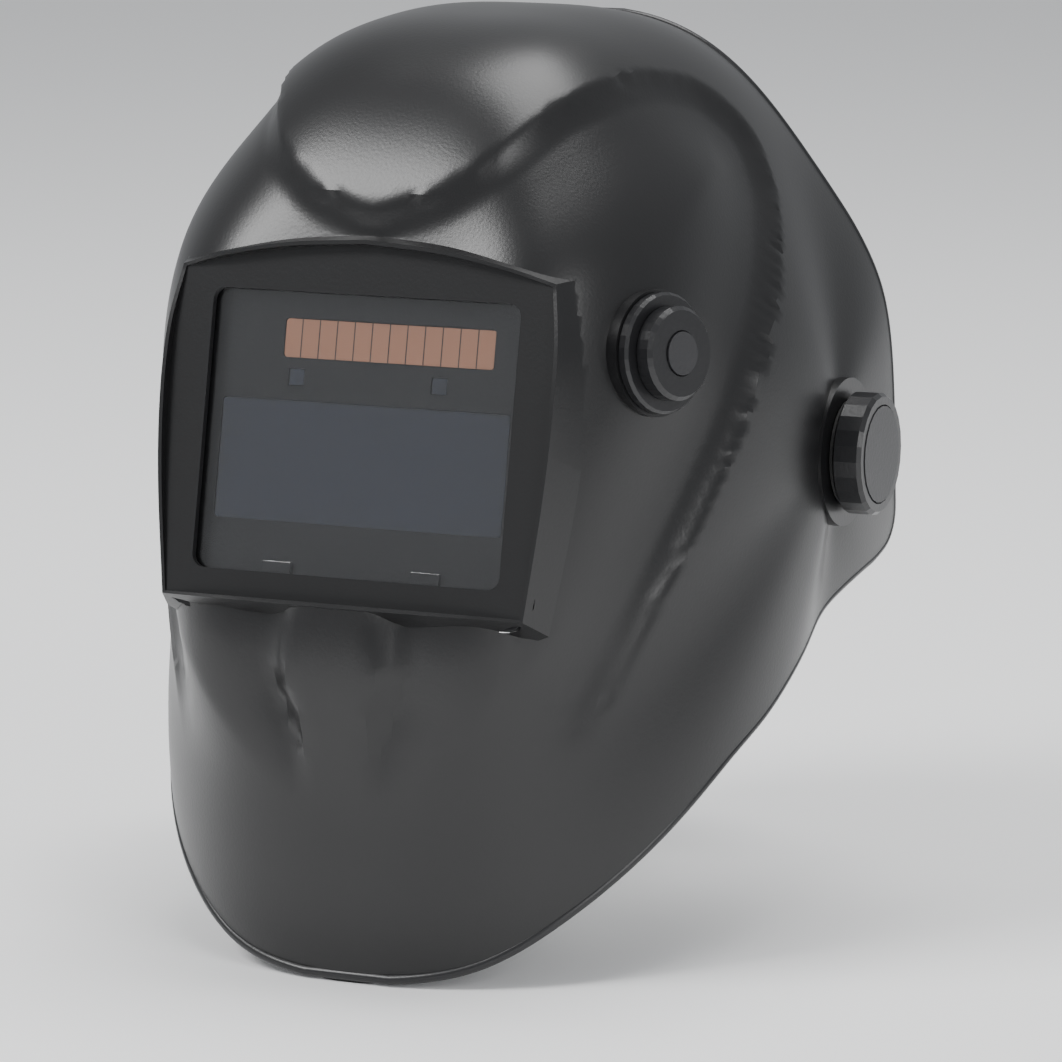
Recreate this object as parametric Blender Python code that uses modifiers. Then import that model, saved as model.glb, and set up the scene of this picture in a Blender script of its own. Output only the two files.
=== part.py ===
"""Welding helmet with an auto-darkening filter and a ratchet headgear.

Frame: the origin is the middle of the pivot axis, between the two tension knobs. +X is the
wearer's left, -Y is forward and +Z is up. The visor is down and the knobs are tight.
"""
import math

import bmesh
import bpy
import numpy as np
from mathutils import Matrix, Vector

MM = 0.001
GAP = 0.3 * MM                      # clearance between pieces that touch

# ---- Shell: overall sizes -------------------------------------------------------------
SHELL_HALF_WIDTH = 117.5 * MM       # at the pivot
CROWN_RISE = 154.5 * MM             # crown above the shell's centre
FACE_REACH = 156.0 * MM             # face in front of the shell's centre
CHIN_REACH = 230.0 * MM             # chin tip from the shell's centre
SHELL_WALL = 2.6 * MM
SHELL_CENTRE_Y = -9.5 * MM          # centre of the shell's form, from the pivot axis
SHELL_CENTRE_Z = 2.0 * MM

# Side profile on the middle plane: angle from straight ahead (up is positive), and radius.
PROFILE = [(-95, CHIN_REACH * 1.022), (-70, CHIN_REACH * 1.063), (-47, CHIN_REACH),
           (-33, CHIN_REACH * 0.844), (-20, FACE_REACH * 1.154), (-7, FACE_REACH * 1.055),
           (7, FACE_REACH), (25, FACE_REACH * 1.025), (43, FACE_REACH * 1.078),
           (60, CROWN_RISE * 1.101), (75, CROWN_RISE * 1.038), (90, CROWN_RISE),
           (105, CROWN_RISE * 0.973), (120, CROWN_RISE * 0.954), (140, CROWN_RISE * 0.949),
           (160, CROWN_RISE * 0.843), (180, CROWN_RISE * 0.836), (210, CROWN_RISE * 1.07),
           (240, CROWN_RISE * 1.217)]
# Cross-sections: angle, exponent along the radius, exponent across, taper towards the edge.
SECTIONS = [(-75, 1.5, 4.8, 0.05), (-45, 3.0, 2.45, 0.165), (-20, 1.85, 5.3, 0.265),
            (7, 2.4, 10.3, 0.30), (40, 2.3, 4.75, 0.205), (75, 1.8, 3.05, 0.06),
            (110, 1.5, 3.45, 0.0), (145, 3.0, 3.7, 0.0), (180, 4.0, 4.45, 0.0),
            (230, 1.85, 3.6, 0.0)]
# Free edge in the side view, from the crown round the ear lug to the chin: Y, Z.
RIM = [(8.5, 159), (22, 125), (30.5, 106), (39.5, 87), (45.5, 73), (52.5, 51), (54.5, 32),
       (54.5, 13), (54.5, -4), (56.5, -20), (60, -33), (56.5, -41), (45.5, -45.5),
       (30.5, -49), (3.5, -57), (-30.5, -69), (-58.5, -83), (-85, -96.6), (-114.5, -119),
       (-139.5, -140.3), (-156.9, -157.5), (-166, -164.5)]
RAYS = 44
RINGS = 11
BEND_SHARE = 85 * MM                # extra rings for each radian that a section turns

# ---- Window: sizes in its own plane ---------------------------------------------------
WINDOW_TILT = math.radians(11.7)    # the plane leans back
WINDOW_Y = -158.3 * MM
WINDOW_Z = 20.9 * MM
BEZEL_WALL = 2.6 * MM
# Half outline of the recessed bezel from the top middle: X, up, height of the lip round it.
BEZEL_HALF = [(0, 65, 4.4), (28, 63, 4.7), (52, 58.8, 3.9), (68.5, 54.5, 0.6), (71.5, 35, 2.6),
              (72, 12, 3.4), (70.5, -18, 2.6), (66.5, -57, 0.6)]
BEZEL_FOOT = [(50, -57, 5.0), (33, -57, 6.9), (0, -57, 7.0)]
APERTURE_WIDTH = 115 * MM
APERTURE_HEIGHT = 96 * MM
APERTURE_CORNER = 4.5 * MM
LENS_WIDTH = 133 * MM
LENS_HEIGHT = 114 * MM
LENS_THICKNESS = 1.0 * MM
LENS_CORNER = 8 * MM
LENS_UP = -1.5 * MM
GASKET_BAND = 5 * MM
GASKET_THICKNESS = 0.8 * MM
HOLDER_WALL = 2.4 * MM
HOLDER_DEPTH = 9.4 * MM
CLIP_WIDTH = 11 * MM
CLIP_SPACING = 55.6 * MM
CLIP_REACH = 14.6 * MM
CLIP_THICKNESS = 1.2 * MM
CASING_FRONT_DEPTH = 4.8 * MM
CASING_REAR_DEPTH = 6.5 * MM
CASING_WALL = 1.6 * MM
VIEW_WIDTH = 108 * MM
VIEW_HEIGHT = 41.5 * MM
VIEW_UP = -9.6 * MM
SOLAR_WIDTH = 79 * MM
SOLAR_HEIGHT = 13.8 * MM
SOLAR_X = 7 * MM
SOLAR_UP = 32.4 * MM
SENSOR_SIDE = 6 * MM
SENSOR_SPACING = 53.6 * MM
SENSOR_UP = 19.1 * MM
BATTERY_RADIUS = 10 * MM
BATTERY_THICKNESS = 2.6 * MM
TRAY_X = 52 * MM
TRAY_UP = -44 * MM
EAR_X = 35 * MM
POST_RADIUS = 4 * MM
SCREW_RADIUS = 1.2 * MM
DIAL_RADIUS = 6 * MM
DIAL_X = 38 * MM
DIAL_UP = 38 * MM

# ---- Shade knob on the left cheek -----------------------------------------------------
SHADE_OUT = 0.7932 * SHELL_HALF_WIDTH   # stays on the cheek if the shell is wider
SHADE_PLACE = Vector((SHADE_OUT, -116.8 * MM, 49.4 * MM))
SHADE_TURN = math.radians(19)       # its axis leans forward from +X
SHADE_RISE = math.radians(5)
SHADE_RING_RADIUS = 20.6 * MM
SHADE_RING_HEIGHT = 3.6 * MM
SHADE_KNOB_RADIUS = 16 * MM
SHADE_KNOB_HEIGHT = 6.2 * MM
SHADE_BUTTON_RADIUS = 7.4 * MM
SHADE_SHAFT_RADIUS = 3 * MM
SHADE_BUSHING_RADIUS = 3.6 * MM
CABLE_RADIUS = 1.5 * MM

# ---- Pivot hardware -------------------------------------------------------------------
BOSS_RADIUS = 26.5 * MM
BOSS_OUTER = SHELL_HALF_WIDTH + 0.7 * MM
BOSS_THICKNESS = 7 * MM
BOLT_RADIUS = 4 * MM
BOLT_HEAD_RADIUS = 8 * MM
BOLT_HEAD_HEIGHT = 3 * MM
WASHER_THICKNESS = 1.5 * MM
WASHER_RADIUS = 19 * MM
KNOB_RADIUS = 21.8 * MM
KNOB_HEIGHT = 10.7 * MM
KNOB_FACETS = 12
CAP_RADIUS = 17.3 * MM
CAP_THICKNESS = 1.8 * MM
LIMITER_RADIUS = 19 * MM
LIMITER_THICKNESS = 5.8 * MM
STOP_RADIUS = 23.5 * MM
ARM_THICKNESS = 3 * MM
ARM_LENGTH = 66 * MM
SLOT_HEIGHT = 9 * MM
SLIDE_TRAVEL = 10 * MM              # each way
SLIDER_LENGTH = 20 * MM
FLANGE_THICKNESS = 1.8 * MM

# ---- Headgear: sizes in its own tilted plane ------------------------------------------
HEAD_TILT = math.radians(23.7)      # the band rises to the forehead
HEAD_Z = 22 * MM
HEAD_HALF_WIDTH = 81.5 * MM
HEAD_HALF_LENGTH = 97.5 * MM
HEAD_ROUNDNESS = 2.5
BAND_WIDTH = 26 * MM
BAND_THICKNESS = 1.6 * MM
PAD_THICKNESS = 6 * MM
PAD_WIDTH = 32 * MM
STRAP_WIDTH = 16 * MM
STRAP_THICKNESS = 1.5 * MM
HOUSING_WIDTH = 72 * MM
HOUSING_HEIGHT = 40 * MM
HOUSING_WALL = 2 * MM
RACK_HEIGHT = 10 * MM
RACK_LENGTH = 44 * MM
TOOTH_PITCH = 2.75 * MM
PINION_RADIUS = 3.6 * MM
RATCHET_KNOB_RADIUS = 19 * MM
RATCHET_KNOB_HEIGHT = 15 * MM


# ---- Tools ----------------------------------------------------------------------------
for old in list(bpy.data.objects):
    bpy.data.objects.remove(old, do_unlink=True)

parts = bpy.data.collections.new("welding_helmet")
cutters = bpy.data.collections.new("cutters")
bpy.context.scene.collection.children.link(parts)
bpy.context.scene.collection.children.link(cutters)


def material(name, colour, roughness, metallic=0.0, alpha=1.0):
    """A Principled material for one kind of finish."""
    made = bpy.data.materials.new(name)
    made.use_nodes = True
    shader = made.node_tree.nodes["Principled BSDF"]
    shader.inputs["Base Color"].default_value = (*colour, 1.0)
    shader.inputs["Roughness"].default_value = roughness
    shader.inputs["Metallic"].default_value = metallic
    shader.inputs["Alpha"].default_value = alpha
    return made


SHELL_BLACK = ("shell", (0.045, 0.045, 0.048), 0.5)
TRIM_BLACK = ("trim", (0.02, 0.02, 0.021), 0.35)
GREY_PLASTIC = ("grey", (0.13, 0.13, 0.135), 0.5)
HEAD_PLASTIC = ("headgear", (0.06, 0.06, 0.065), 0.55)
CLEAR = ("clear", (0.85, 0.9, 0.92), 0.03, 0.0, 0.25)
DARK_GLASS = ("dark_glass", (0.03, 0.035, 0.09), 0.05)
COPPER = ("solar", (0.56, 0.3, 0.2), 0.4, 0.2)
RUBBER = ("rubber", (0.03, 0.03, 0.03), 0.8)
STEEL = ("steel", (0.6, 0.6, 0.62), 0.3, 1.0)
FOAM = ("foam", (0.05, 0.05, 0.055), 0.95)


def keep(obj, name, finish, parent=None):
    """Name a part, give it its own material and file it with the parts."""
    obj.name = name
    obj.data.name = name
    obj.data.materials.clear()
    look = (name + "_" + finish[0],) + tuple(finish[1:])
    obj.data.materials.append(material(*look))
    for holder in list(obj.users_collection):
        holder.objects.unlink(obj)
    parts.objects.link(obj)
    if parent is not None:
        obj.parent = parent
    return obj


def hide(obj, name, parent=None):
    """File a cutting or guiding solid away from the parts."""
    obj.name = name
    obj.hide_render = True
    obj.display_type = "WIRE"
    for holder in list(obj.users_collection):
        holder.objects.unlink(obj)
    cutters.objects.link(obj)
    if parent is not None:
        obj.parent = parent
    return obj


def empty(name, place, turn):
    """A local frame that parts are placed in."""
    frame = bpy.data.objects.new(name, None)
    frame.location = place
    frame.rotation_euler = turn
    parts.objects.link(frame)
    return frame


def from_bmesh(bm, name):
    """An object at the origin from a bmesh."""
    data = bpy.data.meshes.new(name)
    bm.to_mesh(data)
    bm.free()
    obj = bpy.data.objects.new(name, data)
    bpy.context.scene.collection.objects.link(obj)
    return obj


def block(size, place=(0, 0, 0), bevel=0.0):
    """A box, with round edges if asked."""
    bm = bmesh.new()
    bmesh.ops.create_cube(bm, size=1.0)
    bmesh.ops.scale(bm, vec=size, verts=bm.verts)
    obj = from_bmesh(bm, "block")
    obj.location = place
    if bevel > 0.0:
        edge = obj.modifiers.new("Bevel", "BEVEL")
        edge.width = bevel
        edge.segments = 2
    return obj


def turned(profile, steps=24, closed=False):
    """A body turned about Z from a profile that runs down its outer side: radius, height."""
    bm = bmesh.new()
    points = [bm.verts.new((radius, 0.0, height)) for radius, height in profile]
    for one, two in zip(points, points[1:]):
        bm.edges.new((one, two))
    if closed:
        bm.edges.new((points[-1], points[0]))
    obj = from_bmesh(bm, "turned")
    screw = obj.modifiers.new("Screw", "SCREW")
    screw.steps = steps
    screw.render_steps = steps
    screw.use_merge_vertices = True
    screw.merge_threshold = 0.00001
    return obj


def rod(radius, low, high, steps=24):
    """A plain cylinder on Z between two heights."""
    return turned([(0, high), (radius, high), (radius, low), (0, low)], steps)


def ring(inner, outer, low, high, steps=24):
    """A washer on Z between two heights."""
    loop = [(inner, high), (outer, high), (outer, low), (inner, low)]
    return turned(loop, steps, closed=True)


def plate(outline, low, high):
    """A flat outline in X and Y, raised from one height to another."""
    bm = bmesh.new()
    face = bm.faces.new([bm.verts.new((x, y, low)) for x, y in outline])
    if face.normal.z > 0:
        face.normal_flip()
    face.normal_update()
    raised = bmesh.ops.extrude_face_region(bm, geom=[face])
    moved = [item for item in raised["geom"] if isinstance(item, bmesh.types.BMVert)]
    bmesh.ops.translate(bm, vec=(0, 0, high - low), verts=moved)
    bmesh.ops.recalc_face_normals(bm, faces=bm.faces)
    return from_bmesh(bm, "plate")


def rounded(width, height, radius, steps=4):
    """Outline of a rectangle with round corners."""
    points = []
    for corner, (sx, sy) in enumerate([(1, 1), (-1, 1), (-1, -1), (1, -1)]):
        for step in range(steps + 1):
            angle = math.radians(90 * (corner + step / steps))
            points.append((sx * (width / 2 - radius) + radius * math.cos(angle),
                           sy * (height / 2 - radius) + radius * math.sin(angle)))
    return points


def shifted(outline, x, up):
    return [(px + x, py + up) for px, py in outline]


def join_or_cut(obj, tool, operation="DIFFERENCE"):
    """A live Boolean of a tool on a part."""
    step = obj.modifiers.new(operation.title(), "BOOLEAN")
    step.operation = operation
    step.solver = "EXACT"
    step.object = tool
    return step


# ---- Frames ---------------------------------------------------------------------------
# Window: X across, Y up along the plane, Z out towards the viewer.
window = empty("window_frame", (0, WINDOW_Y, WINDOW_Z), (math.radians(90) - WINDOW_TILT, 0, 0))
headgear = empty("headgear_frame", (0, 0, HEAD_Z), (-HEAD_TILT, 0, 0))
shade_axis = Vector((math.cos(SHADE_TURN) * math.cos(SHADE_RISE),
                     -math.sin(SHADE_TURN) * math.cos(SHADE_RISE), math.sin(SHADE_RISE)))
shade = empty("shade_frame", SHADE_PLACE, shade_axis.to_track_quat("Z", "Y").to_euler())
SIDES = {"left": 1, "right": -1}
# Pivots: Z out from the middle plane on each side, Y back.
pivots = {side: empty("pivot_" + side, (0, 0, 0), (0, sign * math.radians(90), 0))
          for side, sign in SIDES.items()}


# ---- Shell ----------------------------------------------------------------------------
def periodic_curve(knots):
    """Smooth closed curve through (angle, value...) knots; returns a function of angle."""
    angles = np.array([knot[0] for knot in knots], float)
    values = np.array([knot[1:] for knot in knots], float)
    count = len(angles)
    spans = np.diff(np.append(angles, angles[0] + 360))
    slopes = (np.roll(values, -1, axis=0) - values) / spans[:, None]
    matrix = np.zeros((count, count))
    for i in range(count):
        before = spans[i - 1]
        matrix[i, i - 1] += before
        matrix[i, i] += 2 * (before + spans[i])
        matrix[i, (i + 1) % count] += spans[i]
    bends = np.linalg.solve(matrix, 6 * (slopes - np.roll(slopes, 1, axis=0)))

    def value(angle):
        turn = (angle - angles[0]) % 360 + angles[0]
        i = int(np.searchsorted(angles, turn, side="right")) - 1
        j = (i + 1) % count
        step = turn - angles[i]
        left = spans[i] - step
        curved = (bends[i] * left ** 3 + bends[j] * step ** 3) / (6 * spans[i])
        start = (values[i] / spans[i] - bends[i] * spans[i] / 6) * left
        end = (values[j] / spans[i] - bends[j] * spans[i] / 6) * step
        return curved + start + end

    return value


def smooth_path(points, count):
    """A smooth open path through points, evenly numbered between them."""
    points = np.array(points, float)
    ends = np.vstack([2 * points[0] - points[1], points, 2 * points[-1] - points[-2]])
    path = []
    for i in range(1, len(ends) - 2):
        a, b, c, d = ends[i - 1:i + 3]
        for t in np.linspace(0, 1, count, endpoint=False):
            path.append(0.5 * (2 * b + (c - a) * t + (2 * a - 5 * b + 4 * c - d) * t ** 2
                               + (3 * b - a - 3 * c + d) * t ** 3))
    path.append(points[-1])
    return np.array(path)


profile_radius = periodic_curve(PROFILE)
section_form = periodic_curve(SECTIONS)


def shell_ray(angle, inset):
    """Points of the form's face along one ray, from the middle plane to the pole."""
    radius = float(profile_radius(angle)[0]) - inset
    along, across, taper = section_form(angle)
    share = math.pi / 2 * np.linspace(0, 1, 400) ** 2
    rho = np.clip(np.cos(share), 0, 1) ** (2 / along)
    half_width = SHELL_HALF_WIDTH - inset
    x = half_width * (1 - taper * rho ** 2) * np.sin(share) ** (2 / across)
    y = SHELL_CENTRE_Y - rho * radius * math.cos(math.radians(angle))
    z = SHELL_CENTRE_Z + rho * radius * math.sin(math.radians(angle))
    line = np.column_stack([x, y, z])
    steps = np.diff(line, axis=0)
    lengths = np.linalg.norm(steps, axis=1)
    facing = steps / np.maximum(lengths, 1e-9)[:, None]
    bends = np.linalg.norm(np.diff(facing, axis=0, prepend=facing[:1]), axis=1)
    spacing = np.concatenate([[0], np.cumsum(lengths + BEND_SHARE * bends)])
    even = np.linspace(0, spacing[-1], RINGS + 1)
    return np.column_stack([np.interp(even, spacing, line[:, i]) for i in range(3)])


def shell_form(name, inset):
    """A closed rounded form: rays from a pole at the pivot, mirrored to the other side."""
    bm = bmesh.new()
    pole = bm.verts.new((SHELL_HALF_WIDTH - inset, SHELL_CENTRE_Y, SHELL_CENTRE_Z))
    rays = []
    for angle in np.linspace(-180, 180, RAYS, endpoint=False):
        line = shell_ray(angle, inset)
        line[0, 0] = 0.0
        rays.append([bm.verts.new(point) for point in line[:-1]])
    for one, two in zip(rays, rays[1:] + rays[:1]):
        for i in range(RINGS - 1):
            bm.faces.new((one[i], one[i + 1], two[i + 1], two[i]))
        bm.faces.new((one[-1], pole, two[-1]))
    bmesh.ops.recalc_face_normals(bm, faces=bm.faces)
    if max(bm.faces, key=lambda face: face.calc_center_median().x).normal.x < 0:
        bmesh.ops.reverse_faces(bm, faces=bm.faces)
    obj = from_bmesh(bm, name)
    mirror = obj.modifiers.new("Mirror", "MIRROR")
    mirror.merge_threshold = 0.0001
    return obj


def bezel_outline(grow=0.0):
    """Points of the bezel's outline, grown outwards if asked: X, up, lip height."""
    top = smooth_path(BEZEL_HALF[:4], 3)
    side = smooth_path(BEZEL_HALF[3:], 3)
    half = np.vstack([top, side[1:], BEZEL_FOOT]) * MM
    centre = np.array([0.0, 4 * MM])
    reach = np.linalg.norm(half[:, :2] - centre, axis=1)
    half[:, :2] = centre + (half[:, :2] - centre) * ((reach + grow) / reach)[:, None]
    half[0, 0] = 0.0
    return np.vstack([half, half[-2:0:-1] * (-1, 1, 1)])


# Holder and ear sizes that the shell's posts line up with.
LENS_DEPTH = BEZEL_WALL + GAP
HOLDER_WIDTH = LENS_WIDTH + 4 * GAP + 2 * HOLDER_WALL
HOLDER_HEIGHT = LENS_HEIGHT + 4 * GAP + 2 * HOLDER_WALL
HOLDER_CORNER = LENS_CORNER + 2 * GAP + HOLDER_WALL
EAR_UP = HOLDER_HEIGHT / 2 + POST_RADIUS + GAP
EAR_THICKNESS = 3 * MM
EAR_WIDTH = 2 * POST_RADIUS + 2 * MM
EAR_BACK = LENS_DEPTH + HOLDER_DEPTH
EAR_FRONT = EAR_BACK - EAR_THICKNESS
EARS = [(sx * EAR_X, LENS_UP + sy * EAR_UP) for sx in (1, -1) for sy in (1, -1)]
SCREW_DEPTH = EAR_FRONT - 3.6 * MM
BOSS_INNER = BOSS_OUTER - BOSS_THICKNESS
SHADE_SEAT = 0.8 * MM
SHADE_PAD = 6 * MM                  # pad thickness under the seat
SHADE_HOLE = SHADE_BUSHING_RADIUS + 1.2 * MM
STOP_PIN_RADIUS = 2 * MM
CHAMBER_DEPTH = 30 * MM
HOOD_LIP = 1.4 * MM
HOOD_DEPTH = 12.6 * MM
HOOD_SPREAD = 5.8 * MM
HOOD_FOOT_SPREAD = 12 * MM


def bezel_hood():
    """A tapered block whose front edge is the raised lip round the bezel."""
    front = bezel_outline(HOOD_LIP)
    back = bezel_outline(HOOD_LIP + HOOD_SPREAD)
    foot = bezel_outline(HOOD_LIP + HOOD_FOOT_SPREAD)
    low = front[:, 2] > 4.9 * MM
    back[low] = foot[low]
    bm = bmesh.new()
    top = bm.verts.new((0, 0, 3 * MM))
    fronts = [bm.verts.new(point) for point in front]
    backs = [bm.verts.new((x, up, -HOOD_DEPTH)) for x, up, rise in back]
    for i in range(len(fronts)):
        j = (i + 1) % len(fronts)
        bm.faces.new((fronts[i], fronts[j], top))
        bm.faces.new((fronts[i], backs[i], backs[j], fronts[j]))
    bm.faces.new(backs)
    bmesh.ops.recalc_face_normals(bm, faces=bm.faces)
    return from_bmesh(bm, "bezel_hood")


def build_shell():
    """The moulded visor shell: dome, bezel pocket, screw posts, pivot bosses and bores."""
    shell = shell_form("helmet_shell", 0.0)
    join_or_cut(shell, hide(shell_form("inner_form", SHELL_WALL), "inner_form"))
    edge = smooth_path(RIM, 3) * MM
    far = 2 * CHIN_REACH
    outline = [(y, z) for y, z in edge] + [(edge[-1][0], -far), (far, -far), (far, far),
                                           (edge[0][0], far)]
    rim_cut = hide(plate(outline, -far, far), "rim_cut")
    rim_cut.matrix_world = Matrix(((0, 0, 1, 0), (1, 0, 0, 0), (0, 1, 0, 0), (0, 0, 0, 1)))
    join_or_cut(shell, rim_cut)
    block_out = 20 * MM
    hood = hide(bezel_hood(), "bezel_hood", window)
    opening = hide(plate(bezel_outline(0.5 * MM)[:, :2], -HOOD_DEPTH + 1.5 * MM, block_out),
                   "shell_opening", window)
    join_or_cut(shell, opening)
    join_or_cut(shell, hood, "UNION")
    chamber_outline = shifted(rounded(HOLDER_WIDTH + 2 * GAP, HOLDER_HEIGHT + 2 * GAP,
                                      HOLDER_CORNER + GAP), 0, LENS_UP)
    chamber = hide(plate(chamber_outline, -CHAMBER_DEPTH, -BEZEL_WALL), "holder_chamber", window)
    join_or_cut(shell, chamber)
    for number, (x, up) in enumerate(EARS):
        room = block((EAR_WIDTH + 4 * GAP, EAR_WIDTH + 4 * GAP, CHAMBER_DEPTH),
                     (x, up, GAP - EAR_FRONT - CHAMBER_DEPTH / 2))
        join_or_cut(shell, hide(room, f"ear_room_{number}", window))
    for side, sign in SIDES.items():
        boss = hide(rod(BOSS_RADIUS, BOSS_INNER, BOSS_OUTER, 30), "boss_" + side, pivots[side])
        pin = hide(rod(STOP_PIN_RADIUS, BOSS_INNER - LIMITER_THICKNESS / 2, BOSS_INNER + 1 * MM, 12),
                   "stop_pin_" + side, pivots[side])
        pin.location = (sign * STOP_RADIUS, 0, 0)
        join_or_cut(boss, pin, "UNION")
        join_or_cut(shell, boss, "UNION")
    pad = hide(rod(SHADE_RING_RADIUS + 1 * MM, SHADE_SEAT - SHADE_PAD, SHADE_SEAT, 28),
               "shade_pad", shade)
    join_or_cut(shell, pad, "UNION")
    pocket = hide(plate(bezel_outline()[:, :2], 0, 1.5 * block_out), "bezel_pocket", window)
    join_or_cut(shell, pocket)
    opening = rounded(APERTURE_WIDTH, APERTURE_HEIGHT, APERTURE_CORNER)
    join_or_cut(shell, hide(plate(opening, -2 * BEZEL_WALL, block_out), "aperture", window))
    for number, (x, up) in enumerate(EARS):
        bore = hide(rod(SCREW_RADIUS + GAP, -EAR_BACK, -SCREW_DEPTH, 12), f"bore_{number}", window)
        bore.location = (x, up, 0)
        join_or_cut(shell, bore)
    axle = hide(rod(BOLT_RADIUS + 2 * GAP, -2 * BOSS_OUTER, 2 * BOSS_OUTER, 24), "axle_bore",
                pivots["left"])
    join_or_cut(shell, axle)
    spot_face = hide(rod(SHADE_RING_RADIUS + 1 * MM, SHADE_SEAT, SHADE_PAD, 28), "shade_spot_face",
                     shade)
    join_or_cut(shell, spot_face)
    hole = hide(rod(SHADE_HOLE, -3 * SHADE_PAD, SHADE_PAD, 24), "shade_bore", shade)
    join_or_cut(shell, hole)
    return keep(shell, "helmet_shell", SHELL_BLACK)


build_shell()


# ---- Window: lens, holder and filter cartridge ----------------------------------------
def layer(outline, depth, thickness):
    """A flat piece in the window, its front face at a depth behind the bezel."""
    return plate(outline, -depth - thickness, -depth)


LENS_OUTLINE = shifted(rounded(LENS_WIDTH, LENS_HEIGHT, LENS_CORNER), 0, LENS_UP)
keep(layer(LENS_OUTLINE, LENS_DEPTH, LENS_THICKNESS), "cover_lens", CLEAR, window)

GASKET_DEPTH = LENS_DEPTH + LENS_THICKNESS + GAP
gasket = layer(LENS_OUTLINE, GASKET_DEPTH, GASKET_THICKNESS)
gasket_inside = rounded(LENS_WIDTH - 2 * GASKET_BAND, LENS_HEIGHT - 2 * GASKET_BAND, 3 * MM)
gasket_hole = layer(shifted(gasket_inside, 0, LENS_UP), GASKET_DEPTH - GASKET_THICKNESS,
                    3 * GASKET_THICKNESS)
join_or_cut(gasket, hide(gasket_hole, "gasket_hole", window))
keep(gasket, "lens_gasket", RUBBER, window)

CLIP_DEPTH = GASKET_DEPTH + GASKET_THICKNESS + GAP
CASING_DEPTH = CLIP_DEPTH + CLIP_THICKNESS + GAP
for side, sign in SIDES.items():
    clip = block((CLIP_WIDTH, CLIP_REACH, CLIP_THICKNESS),
                 (sign * CLIP_SPACING / 2, LENS_UP + (CLIP_REACH - LENS_HEIGHT) / 2,
                  -CLIP_DEPTH - CLIP_THICKNESS / 2), 0.3 * MM)
    keep(clip, "filter_clip_" + side, TRIM_BLACK, window)

holder_outline = shifted(rounded(HOLDER_WIDTH, HOLDER_HEIGHT, HOLDER_CORNER), 0, LENS_UP)
holder = layer(holder_outline, LENS_DEPTH, HOLDER_DEPTH)
for number, (x, up) in enumerate(EARS):
    ear = block((EAR_WIDTH, EAR_WIDTH, EAR_THICKNESS),
                (x, up, -EAR_BACK + EAR_THICKNESS / 2))
    join_or_cut(holder, hide(ear, f"ear_{number}", window), "UNION")
holder_inside = rounded(LENS_WIDTH + 4 * GAP, LENS_HEIGHT + 4 * GAP, LENS_CORNER + 2 * GAP)
holder_hole = layer(shifted(holder_inside, 0, LENS_UP), 0, 2 * EAR_BACK)
join_or_cut(holder, hide(holder_hole, "holder_hole", window))
for number, (x, up) in enumerate(EARS):
    bore = hide(rod(SCREW_RADIUS + GAP, -2 * EAR_BACK, 0, 12), f"ear_bore_{number}", window)
    bore.location = (x, up, 0)
    join_or_cut(holder, bore)
keep(holder, "holder_frame", TRIM_BLACK, window)


head_seat = -EAR_BACK - GAP
for number, (x, up) in enumerate(EARS):
    screw = turned([(0, -SCREW_DEPTH - GAP), (SCREW_RADIUS, -SCREW_DEPTH - GAP),
                    (SCREW_RADIUS, head_seat), (2.8 * MM, head_seat),
                    (2.4 * MM, head_seat - 1.6 * MM), (0, head_seat - 1.6 * MM)], 12)
    screw.location = (x, up, 0)
    keep(screw, f"frame_screw_{number + 1}", STEEL, window)

# Filter cartridge: two casing halves with the optics and electronics between them.
CASING_BACK = CASING_DEPTH + CASING_FRONT_DEPTH + GAP
CASING_END = CASING_BACK + CASING_REAR_DEPTH
INSIDE = shifted(rounded(LENS_WIDTH - 2 * CASING_WALL, LENS_HEIGHT - 2 * CASING_WALL,
                         LENS_CORNER - CASING_WALL), 0, LENS_UP)


VIEW_OUTLINE = shifted(rounded(VIEW_WIDTH, VIEW_HEIGHT, 1.5 * MM), 0, VIEW_UP)
SOLAR_OUTLINE = shifted(rounded(SOLAR_WIDTH, SOLAR_HEIGHT, 1.5 * MM), SOLAR_X, SOLAR_UP)
front = layer(LENS_OUTLINE, CASING_DEPTH, CASING_FRONT_DEPTH)
front_cuts = {"front_cavity": layer(INSIDE, CASING_DEPTH + CASING_WALL, CASING_FRONT_DEPTH),
              "front_view": layer(VIEW_OUTLINE, 0, CASING_END),
              "front_solar": layer(SOLAR_OUTLINE, 0, CASING_END)}
for side, sign in SIDES.items():
    square = shifted(rounded(SENSOR_SIDE, SENSOR_SIDE, 0.5 * MM), sign * SENSOR_SPACING / 2,
                     SENSOR_UP)
    front_cuts["front_sensor_" + side] = layer(square, 0, CASING_END)
for name, cutter in front_cuts.items():
    join_or_cut(front, hide(cutter, name, window))
keep(front, "filter_casing_front", TRIM_BLACK, window)

PANE_DEPTH = CASING_DEPTH + GAP
glass = shifted(rounded(VIEW_WIDTH - 2 * GAP, VIEW_HEIGHT - 2 * GAP, 1.2 * MM), 0, VIEW_UP)
keep(layer(glass, PANE_DEPTH, CASING_WALL), "filter_glass", DARK_GLASS, window)
cells = shifted(rounded(SOLAR_WIDTH - 2 * GAP, SOLAR_HEIGHT - 2 * GAP, 1.2 * MM), SOLAR_X,
                SOLAR_UP)
keep(layer(cells, PANE_DEPTH, 1.1 * MM), "solar_panel", COPPER, window)
for side, sign in SIDES.items():
    side_length = SENSOR_SIDE - 2 * GAP
    sensor = block((side_length, side_length, 1.8 * MM),
                   (sign * SENSOR_SPACING / 2, SENSOR_UP, -PANE_DEPTH - 0.9 * MM))
    keep(sensor, "arc_sensor_" + side, DARK_GLASS, window)
SHUTTER_DEPTH = PANE_DEPTH + CASING_WALL + GAP
SHUTTER_THICKNESS = 2.2 * MM
shutter = shifted(rounded(VIEW_WIDTH + 2 * MM, VIEW_HEIGHT + 2.5 * MM, 1 * MM), 0, VIEW_UP)
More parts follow.
